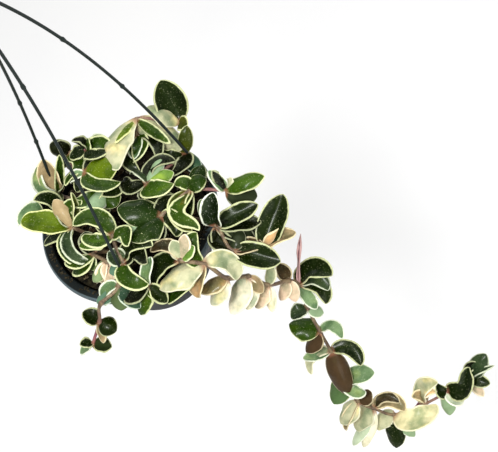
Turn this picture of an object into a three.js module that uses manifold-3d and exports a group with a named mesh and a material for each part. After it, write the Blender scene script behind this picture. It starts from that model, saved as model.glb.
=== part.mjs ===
// A trailing rope plant with curled, cream-edged leaves, in a plastic hanging pot.
// Millimetres, +Z up. The origin is the inner top of the hook's bend, where the whole thing hangs.
import * as THREE from "three";
import { mergeVertices } from "three/addons/utils/BufferGeometryUtils.js";
import Module from "manifold-3d";

const wasm = await Module();
wasm.setup();

const GAP = 0.3; // clearance between pieces that touch in the real object
const LEAF_GAP = 0.5; // between the leaves of different nodes
const SLIVER = 0.12;
const NEAR = 0.015; // corners closer than this count as touching
const WIDER_STEP = 0.07;
const DEG = Math.PI / 180;

// ---- driving dimensions ---------------------------------------------------------------------

const RIM_Z = -350; // plane of the pot's rim, below the hook
const RIM_RADIUS = 76;
const RIM_INNER = 68;
const FLANGE_THICK = 3;
const POT_DEPTH = 88;
const POT_BASE_RADIUS = 47;
const WALL = 1.8;
const DRAIN_RADIUS = 4;
const DRAIN_CIRCLE = 32;
const DRAIN_COUNT = 6;

const SOIL_EDGE = -5; // soil surface at the wall, from the rim plane
const SOIL_CROWN = -3;

const HOOK_RADIUS = 13; // inside the bend
const HOOK_ROD = 2.5;
const HUB_TOP = -38;
const HUB_BOTTOM = -50;
const HUB_RADIUS = 9;

const STRAND_RADIUS = 1.25;
const STRAND_SEAT = 72.3; // where a strand passes through the rim flange
const STRAND_TOP = 5.5; // where it enters the hub, from the axis
const STRAND_SOCKET = 6;
const STRAND_BOW = [9, 23]; // the set that the moulded strands keep from their packing
const STRAND_ANGLES = { right: 1.5, left: 121.5, front: 241.5 };
const STOP_RADIUS = 2.8;
const STOP_LENGTH = 5;

const STEM_RADIUS = 1.7;
const COLLAR_RADIUS = 4;
const PETIOLE_HALF = 1.3;
const LEAF_THICK = 2.2; // at the midrib; the margins are sharp

// ---- colours --------------------------------------------------------------------------------

const COLORS = {
  pot: "#2b3331", soil: "#2a211b", hanger: "#1d2422", stem: "#5d4636",
  green: "#4f7a1e", lime: "#8aa632", bright: "#5f9a1a", light: "#a8c77a", deep: "#1f3a14",
  glossy: "#2c5a22", dark: "#24301c", blue: "#5d7d70", pale: "#a9bda0", grey: "#7c8570",
  shade: "#3a4030", olive: "#6a7030", tan: "#b89a74", brown: "#5c4434", plum: "#6a5454",
  cream: "#ece2b8", white: "#dfe3cf", pinkc: "#e6cdb6", yellow: "#e6dd86", purple: "#8a5a66",
};

// ---- the plant ------------------------------------------------------------------------------
// How a leaf curls. pitch: how far its midrib has turned down at the base and at the tip;
// yaw: turn to its left by the tip; swing: side-to-side weave; twist: turn about the midrib;
// fold: tilt of each half at the midrib and at the margin, up if positive; wave: margin ripple.

const HABITS = {
  "flat": { "pitch": [0, 25], "fold": [8, 16], "wave": 0.04 },
  "cup": { "pitch": [0, -18], "fold": [16, 52], "wave": 0.03 },
  "cap": { "pitch": [-14, 38], "fold": [-12, -48], "wave": 0.04 },
  "capl": { "pitch": [-14, 34], "yaw": 80, "fold": [-12, -44], "wave": 0.03 },
  "boat": { "pitch": [6, -16], "fold": [10, 44], "wave": 0.02, "blunt": 0.42 },
  "tent": { "pitch": [-8, 24], "fold": [-38, -62], "wave": 0.03 },
  "taco": { "pitch": [-4, 22], "fold": [38, 66], "wave": 0.03 },
  "shell": { "pitch": [12, -44], "fold": [22, 66], "wave": 0.03 },
  "curl": { "pitch": [-30, 100], "fold": [-8, -40], "wave": 0.03 },
  "arcl": { "pitch": [-16, 24], "yaw": 125, "fold": [8, 46], "wave": 0.03 },
  "arcr": { "pitch": [-16, 24], "yaw": -125, "fold": [8, 46], "wave": 0.03 },
  "essl": { "pitch": [-10, 18], "swing": 55, "fold": [8, 46], "wave": 0.03 },
  "essr": { "pitch": [-10, 18], "swing": -55, "fold": [8, 46], "wave": 0.03 },
  "wave": { "pitch": [-8, 26], "fold": [6, 34], "wave": 0.15, "twist": 16 },
  "petal": { "pitch": [0, 16], "fold": [-10, -36], "wave": 0.02 },
  "slim": { "pitch": [0, 14], "fold": [40, 66], "wave": 0.03 },
};

// Each stem starts in the soil at root and runs through its nodes. Positions are from the middle
// of the rim, up from the rim plane. A leaf: habit, tone, tip, roll about its length, width.
// A node with no leaves is a bare bend of the stem.

const STEMS = [
  { "name": "back_left", "root": [-26, 44], "nodes": [
    { "at": [-35, 56, 8], "leaves": [
      ["tent", "tan", [-28, 67, 43], 180, 27], ["slim", "green", [-15, 60, 44], 60, 11],
      ["cup", "olive", [-45, 46, 20], 180, 17], ["arcr", "pale", [-32, 69, 38], 0, 12],
      ["cup", "dark", [-22, 49, 28], 0, 14]] },
    { "at": [-8, 70, 25], "leaves": [
      ["cup", "dark", [-16, 80, 38], 150, 17], ["cup", "plum", [-12, 53, 24], 180, 15],
      ["flat", "dark", [-10, 75, 41], 0, 12], ["essl", "green", [-26, 41, 30], 0, 12],
      ["cap", "shade", [-23, 65, 24], 0, 15]] },
    { "at": [6, 56, 33], "leaves": [
      ["arcr", "green", [17, 30, 36], 10, 15], ["arcl", "deep", [21, 37, 40], 0, 12],
      ["taco", "dark", [0, 66, 42], 40, 16], ["cap", "grey", [24, 51, 40], 190, 17],
      ["cap", "green", [12, 54, 44], 0, 13], ["cup", "deep", [-10, 62, 30], 0, 16]] },
  ] },
  { "name": "back_middle", "root": [-14, 14], "nodes": [
    { "at": [-4, 17, 30], "leaves": [
      ["cap", "green", [-2, -3, 26], 0, 23], ["shell", "pale", [-26, -1, 34], 180, 21],
      ["arcr", "green", [-29, 27, 28], 0, 15], ["cup", "shade", [-14, 0, 20], 0, 17],
      ["arcl", "deep", [10, 9, 26], 0, 13]] },
    { "at": [-7, 37, 34], "leaves": [
      ["cap", "lime", [18, 17, 42], 10, 26], ["arcl", "green", [12, 9, 34], 0, 14],
      ["taco", "pale", [-21, 44, 26], 0, 13], ["cup", "deep", [-22, 34, 24], 0, 15],
      ["cup", "dark", [17, 45, 34], 0, 16]] },
  ] },
  { "name": "back_right", "root": [30, 34], "nodes": [
    { "at": [46, 42, 28], "leaves": [
      ["arcr", "green", [29, 25, 26], 0, 16], ["cup", "pale", [32, 23, 29], 0, 16],
      ["arcr", "dark", [47, 12, 24], 0, 14], ["cup", "dark", [23, 34, 24], 0, 17],
      ["arcl", "deep", [30, 14, 22], 0, 14]] },
    { "at": [53, 46, 40], "leaves": [
      ["capl", "cream", [16, 14, 42], 10, 27], ["capl", "tan", [31, 28, 36], 20, 15],
      ["tent", "cream", [69, 9, 20], 20, 31], ["petal", "green", [63, 10, 35], 20, 10],
      ["petal", "lime", [27, 33, 48], 0, 7]] },
    { "at": [80, 28, 26], "leaves": [
      ["cup", "deep", [88, 55, 52], 10, 32], ["cap", "cream", [65, 45, 46], 10, 21],
      ["flat", "olive", [84, 17, 32], 20, 14]] },
  ] },
  { "name": "middle_right", "root": [22, 8], "nodes": [
    { "at": [28, -3, 26], "leaves": [
      ["arcl", "bright", [45, -23, 34], 0, 20], ["curl", "grey", [22, 16, 25], 60, 14],
      ["cap", "light", [51, -9, 26], 10, 15], ["shell", "pale", [51, 9, 27], 180, 16],
      ["essl", "dark", [16, 17, 24], 0, 14], ["arcl", "deep", [42, -27, 22], 0, 16],
      ["cup", "shade", [20, -16, 18], 0, 19], ["arcr", "dark", [58, 0, 24], 0, 13]] },
    { "at": [68, 8, 14], "leaves": [
      ["arcr", "deep", [53, 21, 22], 0, 14], ["cap", "olive", [83, 17, 32], 30, 14],
      ["arcr", "dark", [47, -5, 20], 0, 15], ["cap", "blue", [69, -16, 14], 0, 15]] },
  ] },
  { "name": "middle", "root": [8, -18], "nodes": [
    { "at": [21, -39, 31], "leaves": [
      ["cap", "glossy", [-3, -16, 42], 0, 28], ["cap", "glossy", [-9, -46, 36], 10, 29],
      ["arcr", "deep", [21, -58, 24], 0, 16], ["arcr", "dark", [40, -38, 24], 0, 17],
      ["cup", "shade", [5, -50, 16], 0, 18], ["cup", "shade", [-3, -34, 20], 0, 16]] },
    { "at": [52, -34, 28], "leaves": [
      ["arcl", "olive", [34, -64, 26], 0, 16], ["essr", "green", [38, -70, 30], 0, 14],
      ["arcl", "green", [45, -23, 30], 0, 13], ["curl", "green", [68, -34, 30], 0, 17],
      ["cap", "glossy", [73, -20, 26], 0, 17], ["cup", "deep", [26, -53, 18], 0, 18]] },
    { "at": [75, -48, 20], "leaves": [
      ["taco", "pale", [73, -33, 35], 0, 15], ["cap", "bright", [106, -62, 24], 10, 17],
      ["cup", "shade", [93, -63, 8], 190, 25], ["petal", "cream", [85, -46, 26], 0, 9],
      ["flat", "dark", [75, -37, 38], 0, 10]] },
  ] },
  { "name": "front_left", "root": [-12, -16], "nodes": [
    { "at": [-19, -29, 34], "leaves": [
      ["arcl", "green", [-39, -3, 40], 0, 17], ["cap", "bright", [-45, -20, 36], 10, 18],
      ["shell", "pale", [1, -36, 34], 180, 20], ["essl", "green", [-13, -48, 38], 0, 14],
      ["arcr", "green", [-36, -13, 36], 0, 14], ["cup", "deep", [-18, 2, 30], 0, 17]] },
    { "at": [-24, -50, 25], "leaves": [
      ["arcr", "deep", [2, -58, 33], 0, 16], ["arcl", "green", [-18, -77, 22], 0, 16],
      ["essl", "dark", [-9, -66, 30], 0, 15], ["shell", "blue", [-38, -48, 22], 170, 17],
      ["cup", "grey", [-29, -37, 32], 0, 18]] },
    { "at": [-20, -72, 14], "leaves": [
      ["cap", "green", [-38, -79, -6], 10, 20], ["taco", "pale", [-4, -62, 28], 0, 14],
      ["arcr", "dark", [-38, -65, 8], 0, 16], ["cup", "deep", [-15, -87, -2], 0, 15]] },
  ] },
  { "name": "left", "root": [-32, 2], "nodes": [
    { "at": [-41, 9, 22], "leaves": [
      ["boat", "lime", [-72, 34, 36], 15, 27], ["shell", "tan", [-40, 32, 36], 170, 19],
      ["slim", "olive", [-25, 22, 44], 90, 12], ["flat", "deep", [-69, 17, 14], 10, 14],
      ["arcl", "green", [-50, -22, 14], 0, 14], ["arcl", "grey", [-45, -27, 18], 0, 11],
      ["essl", "green", [-22, 17, 34], 0, 13], ["cup", "shade", [-39, 29, 30], 0, 16]] },
    { "at": [-47, 34, 12], "leaves": [
      ["arcl", "pale", [-76, 36, 30], 0, 14], ["cup", "dark", [-49, 48, 33], 30, 19],
      ["arcl", "deep", [-54, 44, 36], 0, 14]] },
  ] },
  { "name": "low_left", "root": [-28, -18], "nodes": [
    { "at": [-40, -22, 18], "leaves": [
      ["arcr", "green", [-59, -7, 14], 0, 13], ["arcr", "green", [-61, -16, 8], 0, 12],
      ["cup", "light", [-49, -27, 8], 10, 14], ["cup", "shade", [-36, 0, 20], 0, 18]] },
    { "at": [-35, -36, 20], "leaves": [
      ["shell", "light", [-53, -37, 9], 170, 16], ["taco", "pinkc", [-48, -42, 6], 0, 14],
      ["taco", "pinkc", [-41, -48, 10], 0, 14]] },
    { "at": [-38, -56, 12], "leaves": [
      ["shell", "grey", [-48, -70, 2], 170, 26], ["cup", "blue", [-61, -51, 2], 170, 15],
      ["arcl", "pale", [-56, -57, 0], 0, 12], ["flat", "blue", [-35, -79, 3], 10, 15]] },
    { "at": [-58, -57, 8], "leaves": [] },
    { "at": [-70, -51, -24], "leaves": [
      ["cup", "deep", [-76, -39, -15], 10, 18], ["cap", "deep", [-63, -64, -30], 10, 19],
      ["petal", "tan", [-78, -60, -40], 0, 9]] },
    { "at": [-86, -52, -44], "leaves": [
      ["cup", "pale", [-100, -49, -50], 10, 14], ["cap", "deep", [-75, -62, -50], 170, 17],
      ["cup", "deep", [-95, -49, -38], 10, 13]] },
  ] },
  { "name": "front_right", "root": [36, -34], "nodes": [
    { "at": [52, -64, 11], "leaves": [
      ["taco", "white", [65, -53, 36], 0, 25], ["cup", "grey", [54, -46, 28], 180, 16],
      ["cup", "deep", [89, -72, 12], 10, 20], ["shell", "shade", [77, -80, -10], 170, 26],
      ["cap", "dark", [76, -75, 2], 0, 17],
      ["cup", "dark", [83, -82, 4], 0, 20], ["cup", "shade", [71, -86, -8], 0, 21],
      ["cup", "dark", [48, -80, -8], 0, 20]] },
    { "at": [51, -86, 1], "leaves": [
      ["cup", "deep", [76, -114, -10], 10, 25], ["shell", "shade", [66, -74, 5], 170, 20],
      ["shell", "brown", [74, -93, -4], 0, 19], ["cup", "dark", [43, -64, 6], 0, 20]] },
    { "at": [72, -96, -8], "leaves": [
      ["cup", "deep", [110, -77, 10], 10, 27], ["taco", "tan", [100, -103, -6], 0, 18],
      ["shell", "brown", [58, -80, -5], 170, 21]] },
  ] },
  { "name": "trailing", "root": [14, -44], "nodes": [
    { "at": [13, -77, 22], "leaves": [
      ["arcl", "deep", [-20, -80, -2], 10, 19], ["arcl", "brown", [-2, -57, 26], 0, 12],
      ["petal", "cream", [17, -65, 34], 0, 13], ["petal", "pinkc", [28, -69, 36], 0, 13],
      ["petal", "light", [28, -79, 30], 0, 11]] },
    { "at": [26, -87, 13], "leaves": [
      ["cap", "cream", [-14, -77, 7], 10, 28], ["cup", "green", [-16, -84, -7], 10, 23],
      ["taco", "tan", [6, -97, -6], 0, 20], ["arcr", "green", [36, -69, 28], 0, 17],
      ["arcr", "cream", [39, -102, -12], 10, 18]] },
    { "at": [35, -94, -16], "leaves": [
      ["petal", "cream", [12, -95, -34], 0, 20], ["petal", "tan", [10, -88, -18], 0, 15]] },
    { "at": [50, -94, -34], "leaves": [
      ["petal", "cream", [21, -100, -58], 0, 22], ["petal", "cream", [34, -105, -60], 0, 20],
      ["petal", "tan", [52, -108, -46], 0, 13]] },
    { "at": [60, -101, -54], "leaves": [
      ["cap", "pinkc", [41, -102, -72], 0, 18], ["petal", "cream", [50, -112, -77], 0, 11],
      ["petal", "cream", [72, -94, -44], 0, 11]] },
    { "at": [77, -100, -72], "leaves": [
      ["petal", "pinkc", [62, -103, -86], 0, 13], ["petal", "pinkc", [72, -111, -90], 0, 13],
      ["cup", "brown", [78, -86, -62], 0, 15]] },
    { "at": [83, -99, -92], "leaves": [
      ["arcr", "deep", [109, -115, -84], 0, 22], ["arcr", "grey", [100, -117, -98], 0, 16],
      ["arcr", "deep", [92, -121, -108], 0, 17], ["cup", "pale", [84, -118, -112], 0, 14],
      ["slim", "purple", [107, -85, -46], 0, 4]] },
    { "at": [79, -107, -122], "leaves": [
      ["cup", "grey", [62, -105, -123], 10, 19], ["flat", "pale", [88, -116, -132], 180, 13]] },
    { "at": [77, -118, -154], "leaves": [
      ["cap", "green", [59, -96, -150], 10, 27], ["cup", "brown", [57, -118, -172], 180, 20],
      ["arcr", "light", [88, -139, -148], 0, 13]] },
    { "at": [76, -127, -184], "leaves": [
      ["arcr", "deep", [89, -153, -190], 0, 17], ["cup", "pale", [52, -113, -190], 0, 15],
      ["arcl", "cream", [50, -126, -202], 0, 13], ["shell", "brown", [66, -156, -220], 180, 27]] },
    { "at": [73, -142, -218], "leaves": [
      ["flat", "pale", [97, -158, -212], 0, 20], ["cup", "green", [51, -149, -236], 170, 25],
      ["arcl", "light", [81, -162, -226], 0, 15]] },
    { "at": [71, -158, -246], "leaves": [
      ["cap", "cream", [46, -159, -262], 0, 22], ["cup", "brown", [86, -161, -240], 180, 18],
      ["taco", "tan", [46, -164, -270], 10, 15]] },
    { "at": [80, -167, -263], "leaves": [
      ["capl", "cream", [56, -171, -278], 10, 26], ["cup", "white", [44, -171, -298], 180, 16],
      ["cup", "cream", [51, -178, -300], 180, 16], ["arcr", "tan", [101, -186, -266], 0, 17],
      ["arcr", "brown", [102, -178, -262], 0, 12]] },
    { "at": [93, -180, -276], "leaves": [
      ["capl", "cream", [72, -179, -286], 0, 19], ["cap", "deep", [76, -198, -302], 0, 22],
      ["arcl", "yellow", [129, -197, -272], 0, 26], ["cup", "pale", [96, -203, -293], 180, 16]] },
    { "at": [122, -188, -279], "leaves": [
      ["arcr", "cream", [142, -187, -256], 0, 19], ["arcr", "pinkc", [136, -192, -262], 0, 13],
      ["cup", "purple", [109, -184, -290], 180, 14], ["arcl", "tan", [115, -179, -268], 0, 13]] },
    { "at": [145, -194, -273], "leaves": [
      ["essr", "deep", [174, -195, -254], 0, 21], ["arcr", "deep", [142, -185, -262], 0, 14],
      ["arcl", "white", [153, -207, -280], 0, 13], ["cup", "pale", [135, -208, -291], 180, 17]] },
    { "at": [168, -199, -264], "leaves": [
      ["cap", "grey", [193, -197, -246], 10, 21], ["arcr", "dark", [182, -200, -252], 0, 11],
      ["flat", "deep", [180, -216, -264], 20, 13], ["petal", "pinkc", [169, -219, -274], 0, 11],
      ["slim", "grey", [192, -209, -250], 0, 6]] },
  ] },
];

// ---- solids ---------------------------------------------------------------------------------

function solid(geometry) {
  const bare = geometry.clone();
  bare.deleteAttribute("normal");
  bare.deleteAttribute("uv");
  const merged = mergeVertices(bare, 1e-4);
  return new wasm.Manifold(new wasm.Mesh({
    numProp: 3,
    vertProperties: new Float32Array(merged.attributes.position.array),
    triVerts: new Uint32Array(merged.index.array),
  }));
}

function geometryOf(manifold) {
  const mesh = manifold.getMesh();
  const geometry = new THREE.BufferGeometry();
  geometry.setAttribute("position", new THREE.BufferAttribute(mesh.vertProperties, 3));
  geometry.setIndex(new THREE.BufferAttribute(mesh.triVerts, 1));
  return geometry;
}

const closed = (profile) => [...profile, profile[0]].map(([r, z]) => new THREE.Vector2(r, z));

// A solid turned about the Z axis from a closed outline of [radius, z] points.
function turned(profile, segments) {
  const geometry = new THREE.LatheGeometry(closed(profile), segments);
  return geometry.rotateX(Math.PI / 2);
}

// A round rod along a curve. An n-sided section is drawn so that its flats touch the radius.
function rod(curve, radius, steps, sides = 8) {
  const section = new THREE.Shape();
  for (let i = 0; i < sides; i++) {
    const a = (i / sides) * 2 * Math.PI;
    section[i ? "lineTo" : "moveTo"](radius * Math.cos(a), radius * Math.sin(a));
  }
  section.closePath();
  return new THREE.ExtrudeGeometry(section, { extrudePath: curve, steps, bevelEnabled: false });
}

const overlaps = (a, b) => {
  const [p, q] = [a.boundingBox(), b.boundingBox()];
  return [0, 1, 2].every((i) => p.min[i] < q.max[i] && q.min[i] < p.max[i]);
};

const largest = (body) => body.decompose().reduce((a, b) => (b.volume() > a.volume() ? b : a));

// Cuts every tool that reaches the body out of it, and keeps the largest piece that is left,
// without the slivers that the cuts leave along their edges.
function cut(body, tools) {
  let result = body;
  for (const tool of tools) {
    if (overlaps(result, tool)) result = result.subtract(tool);
  }
  return largest(largest(result).asOriginal().simplify(SLIVER));
}

// ---- leaf -----------------------------------------------------------------------------------

const MIDRIB_STEPS = 40;
const SECTION_EVERY = 10;

// The midrib: unit-length frames, integrated from the habit's pitch and yaw.
function midrib(habit) {
  const frames = [];
  const point = new THREE.Vector3();
  for (let k = 0; k <= MIDRIB_STEPS; k++) {
    const u = k / MIDRIB_STEPS;
    const pitch = (habit.pitch[0] + (habit.pitch[1] - habit.pitch[0]) * u) * DEG;
    const yaw = ((habit.yaw ?? 0) * u + (habit.swing ?? 0) * Math.sin(2 * Math.PI * u)) * DEG;
    const turn = new THREE.Euler(0, pitch, yaw, "ZYX");
    const along = new THREE.Vector3(1, 0, 0).applyEuler(turn);
    const side = new THREE.Vector3(0, 1, 0).applyEuler(turn);
    const up = new THREE.Vector3(0, 0, 1).applyEuler(turn);
    const twist = (habit.twist ?? 0) * u * DEG;
    side.applyAxisAngle(along, twist);
    up.applyAxisAngle(along, twist);
    frames.push({ u, point: point.clone(), side, up });
    point.addScaledVector(along, 1 / MIDRIB_STEPS);
  }
  return frames;
}

// Half-width of the blade along its length, as a share of the widest place.
function outline(u, blunt) {
  const peak = 0.55 / (0.55 + blunt);
  const shape = (t) => t ** 0.55 * (1 - t) ** blunt;
  return shape(u) / shape(peak);
}

// A point of one half's cross-section, s across from the midrib (0) to the margin (1).
function acrossHalf(s, half, mid, edge) {
  const angle = mid + (edge - mid) * s;
  if (Math.abs(edge - mid) < 1e-6) return [half * s * Math.cos(mid), half * s * Math.sin(mid), angle];
  const k = half / (edge - mid);
  return [k * (Math.sin(angle) - Math.sin(mid)), k * (Math.cos(mid) - Math.cos(angle)), angle];
}

function leafSolid(base, [habitName, , tip, roll, width], grow = 0) {
  const habit = HABITS[habitName];
  const frames = midrib(habit);
  const end = frames[MIDRIB_STEPS].point;
  const from = new THREE.Vector3(...base);
  const chord = new THREE.Vector3(...tip).sub(from);
  const length = chord.length() / end.length();

  // The blade's own axes, and the same axes in the plant, turned by the roll.
  const own = axes(end.clone().normalize(), new THREE.Vector3(0, 0, 1), 0);
  const placed = axes(chord.clone().normalize(), new THREE.Vector3(0, 0, 1), roll * DEG);
  const turn = placed.multiply(own.transpose());

  const rings = frames.filter((_, k) => k % SECTION_EVERY === 0 && k > 0 && k < MIDRIB_STEPS);
  const sections = [frames[0], ...rings, frames[MIDRIB_STEPS]].map((frame) => {
    const spread = outline(frame.u, habit.blunt ?? 0.62);
    const wide = (width / 2) * spread;
    const bare = Math.max(wide, PETIOLE_HALF * (1 - frame.u));
    const ease = (0.6 + 0.4 * Math.sin(Math.PI * frame.u)) * (bare / (bare + 1.5));
    const ripple = habit.wave * length * spread * Math.sin(2 * Math.PI * 1.5 * frame.u + 0.6);
    const across = (v, lift) => {
      const s = Math.abs(v);
      const [y, z, angle] = acrossHalf(s, bare + grow, habit.fold[0] * ease * DEG, habit.fold[1] * ease * DEG);
      const sign = v < 0 ? -1 : 1;
      return frame.point.clone().multiplyScalar(length)
        .addScaledVector(frame.side, sign * (y - lift * Math.sin(angle)))
        .addScaledVector(frame.up, z + lift * Math.cos(angle) + sign * ripple * s * s)
        .applyMatrix4(turn).add(from);
    };
    const skin = (LEAF_THICK / 2) * (0.45 + 0.55 * Math.min(1, spread)) + grow;
    const [top, bottom] = [across(0, skin), across(0, -skin)];
    if (grow === 0) return [across(-1, 0), top, across(1, 0), bottom];
    return [across(-1, grow), top, across(1, grow), across(1, -grow), bottom, across(-1, -grow)];
  });
  return solid(skinned(sections));
}

function axes(along, up, roll) {
  const side = new THREE.Vector3().crossVectors(up, along).normalize();
  const normal = new THREE.Vector3().crossVectors(along, side);
  side.applyAxisAngle(along, roll);
  normal.applyAxisAngle(along, roll);
  return new THREE.Matrix4().makeBasis(along, side, normal);
}

// Joins sections of four or six corners, which run from the left margin over the top to the right
// margin and back below, into one closed skin. The upper and lower faces are split along matching
// diagonals, so they can't cross where the blade is thin.
function skinned(sections) {
  const n = sections[0].length;
  const faces = [];
  for (let r = 0; r + 1 < sections.length; r++) {
    for (let i = 0; i < n; i++) {
      const [a, b] = [r * n + i, r * n + ((i + 1) % n)];
      if (i % (n / 2) === 1) faces.push(a, a + n, b, b, a + n, b + n);
      else faces.push(a, b + n, b, a, a + n, b + n);
    }
  }
  const cap = n === 4 ? [0, 1, 3, 1, 2, 3] : [0, 1, 5, 1, 4, 5, 1, 2, 3, 1, 3, 4];
  const last = (sections.length - 1) * n;
  faces.push(...cap, ...cap.map((corner) => last + corner).reverse());
  const geometry = new THREE.BufferGeometry().setFromPoints(sections.flat());
  geometry.setIndex(faces);
  return geometry;
}

// The swelling at a node. Its tilt keeps its corners off the planes that other pieces share.
function collar(at, radius, tilt = 0.4) {
  const ball = new THREE.SphereGeometry(radius, 6, 4).rotateX(tilt).rotateY(1.7 * tilt);
  return solid(ball.translate(...at));
}

// ---- pot, soil, hanger ----------------------------------------------------------------------

function strandCurve(degrees, endBelow) {
  const [c, s] = [Math.cos(degrees * DEG), Math.sin(degrees * DEG)];
  const rise = HUB_BOTTOM - RIM_Z;
  const point = (t) => new THREE.Vector3(
    c * (STRAND_SEAT + (STRAND_TOP - STRAND_SEAT) * t) + STRAND_BOW[0] * 4 * t * (1 - t),
    s * (STRAND_SEAT + (STRAND_TOP - STRAND_SEAT) * t) + STRAND_BOW[1] * 4 * t * (1 - t),
    RIM_Z + rise * t,
  );
  const steps = 16;
  const [t0, t1] = [-endBelow / rise, 1 + (STRAND_SOCKET - 1) / rise];
  const points = Array.from({ length: steps + 1 }, (_, i) => point(t0 + ((t1 - t0) * i) / steps));
  return new THREE.CatmullRomCurve3(points);
}

function strandSolid(degrees, grow = 0) {
  const reach = FLANGE_THICK + GAP + STOP_LENGTH;
  return solid(rod(strandCurve(degrees, reach), STRAND_RADIUS + grow, 14));
}

// The barb under the flange, which keeps the strand in its hole.
function strandStop(degrees, grow = 0) {
  const curve = strandCurve(degrees, FLANGE_THICK + GAP + STOP_LENGTH);
  const bottom = curve.getPointAt(0);
  const axis = curve.getTangentAt(0);
  const slant = new THREE.Quaternion().setFromUnitVectors(new THREE.Vector3(0, 1, 0), axis);
  const cone = new THREE.CylinderGeometry(STOP_RADIUS + grow, STRAND_RADIUS + 0.4 + grow, STOP_LENGTH - 1, 10);
  const middle = bottom.clone().addScaledVector(axis, STOP_LENGTH / 2 - 0.5);
  return solid(cone.applyQuaternion(slant).translate(middle.x, middle.y, middle.z));
}

function hookSolid() {
  const mid = HOOK_RADIUS + HOOK_ROD;
  const centre = -HOOK_RADIUS;
  const path = [
    [-mid, centre - 8], [-mid, centre], [-mid * 0.71, centre + mid * 0.71], [0, centre + mid],
    [mid * 0.71, centre + mid * 0.71], [mid, centre], [mid * 0.82, centre - mid * 0.62],
    [mid * 0.34, centre - mid * 1.05], [0, centre - mid * 1.4], [0, HUB_TOP - 2],
  ].map(([x, z]) => new THREE.Vector3(x, 0, z));
  const bend = solid(rod(new THREE.CatmullRomCurve3(path), HOOK_ROD, 30, 8));
  const hub = solid(turned([
    [0, HUB_BOTTOM], [HUB_RADIUS - 1.5, HUB_BOTTOM], [HUB_RADIUS, HUB_BOTTOM + 1.5],
    [HUB_RADIUS, HUB_TOP - 4], [HUB_RADIUS - 3, HUB_TOP - 1], [HOOK_ROD + 1, HUB_TOP], [0, HUB_TOP],
  ], 20));
  return bend.add(hub);
}

function potSolid() {
  const z = (h) => RIM_Z + h;
  const outer = RIM_INNER + WALL;
  const neck = -FLANGE_THICK;
  const foot = 2;
  const outside = [
    [POT_BASE_RADIUS - 4, z(-POT_DEPTH)], [POT_BASE_RADIUS, z(-POT_DEPTH)],
    [POT_BASE_RADIUS + 1, z(-POT_DEPTH + foot)], [outer, z(neck)],
    [RIM_RADIUS - 0.8, z(neck)], [RIM_RADIUS, z(neck + 1)], [RIM_RADIUS - 0.4, z(-0.8)],
    [RIM_RADIUS - 1.6, z(0)],
  ];
  const inside = [
    [RIM_INNER + 1, z(0)], [RIM_INNER, z(-1)],
    [POT_BASE_RADIUS + 1 - WALL, z(-POT_DEPTH + 2 * foot)], [0, z(-POT_DEPTH + 2 * foot)],
    [0, z(-POT_DEPTH + foot)], [POT_BASE_RADIUS - 5, z(-POT_DEPTH + foot)],
  ];
  return solid(turned([...outside, ...inside], 36));
}

function drainHoles() {
  return Array.from({ length: DRAIN_COUNT }, (_, i) => {
    const a = (i / DRAIN_COUNT) * 2 * Math.PI;
    const hole = new THREE.CylinderGeometry(DRAIN_RADIUS, DRAIN_RADIUS, 12, 10).rotateX(Math.PI / 2);
    return solid(hole.translate(DRAIN_CIRCLE * Math.cos(a), DRAIN_CIRCLE * Math.sin(a), RIM_Z - POT_DEPTH + 3));
  });
}

function soilSolid() {
  const floor = RIM_Z - POT_DEPTH + 4 + GAP;
  const wall = (h) => {
    const share = (h - (-POT_DEPTH + 4)) / (POT_DEPTH - 5);
    const base = POT_BASE_RADIUS + 1 - WALL;
    return base + (RIM_INNER - base) * share - GAP * 1.3;
  };
  const crown = [0.4, 0.75].map((share) => [
    wall(SOIL_EDGE) * share, RIM_Z + SOIL_EDGE + (SOIL_CROWN - SOIL_EDGE) * (1 - share * share),
  ]).reverse();
  return solid(turned([
    [0, floor], [wall(-POT_DEPTH + 4), floor], [wall(SOIL_EDGE), RIM_Z + SOIL_EDGE],
    ...crown, [0, RIM_Z + SOIL_CROWN],
  ], 32));
}

// ---- stems and leaf groups ------------------------------------------------------------------

const lifted = ([x, y, h]) => [x, y, RIM_Z + h];

function stemCurve({ root, nodes }) {
  const ROOT_DEPTH = -30;
  const points = [
    [root[0], root[1], ROOT_DEPTH], [root[0], root[1], SOIL_CROWN + 2], ...nodes.map((node) => node.at),
  ].map((p) => new THREE.Vector3(...lifted(p)));
  return new THREE.CatmullRomCurve3(points, false, "centripetal");
}

function stemSolid(stem, grow = 0) {
  const curve = stemCurve(stem);
  const steps = Math.round(curve.getLength() / 10);
  const body = solid(rod(curve, STEM_RADIUS + grow, steps, 6));
  return grow > 0 ? body.add(collar(curve.getPoint(1).toArray(), STEM_RADIUS + 2 * grow)) : body;
}

function groupSolid(node, grow = 0, wider = 0) {
  const at = lifted(node.at);
  return node.leaves.reduce((whole, [habit, tone, tip, roll, width]) => (
    whole.add(leafSolid(at, [habit, tone, lifted(tip), roll, width + wider], grow))
  ), collar(at, COLLAR_RADIUS + grow, 0.4 + wider));
}

// A leaf group cut clear of its neighbours. Where a cut leaves two corners almost touching,
// the leaves are made a little wider, which moves the cut, and the roomiest cut is kept.
function fittedGroup(node, tools) {
  const TRIES = 30;
  let best = { room: -1 };
  for (let attempt = 0; attempt < TRIES && best.room < NEAR; attempt++) {
    const wider = attempt * WIDER_STEP;
    const body = cut(groupSolid(node, 0, wider), tools);
    const room = nearestCorners(body);
    if (room > best.room) best = { body, wider, room };
  }
  return best;
}

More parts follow.
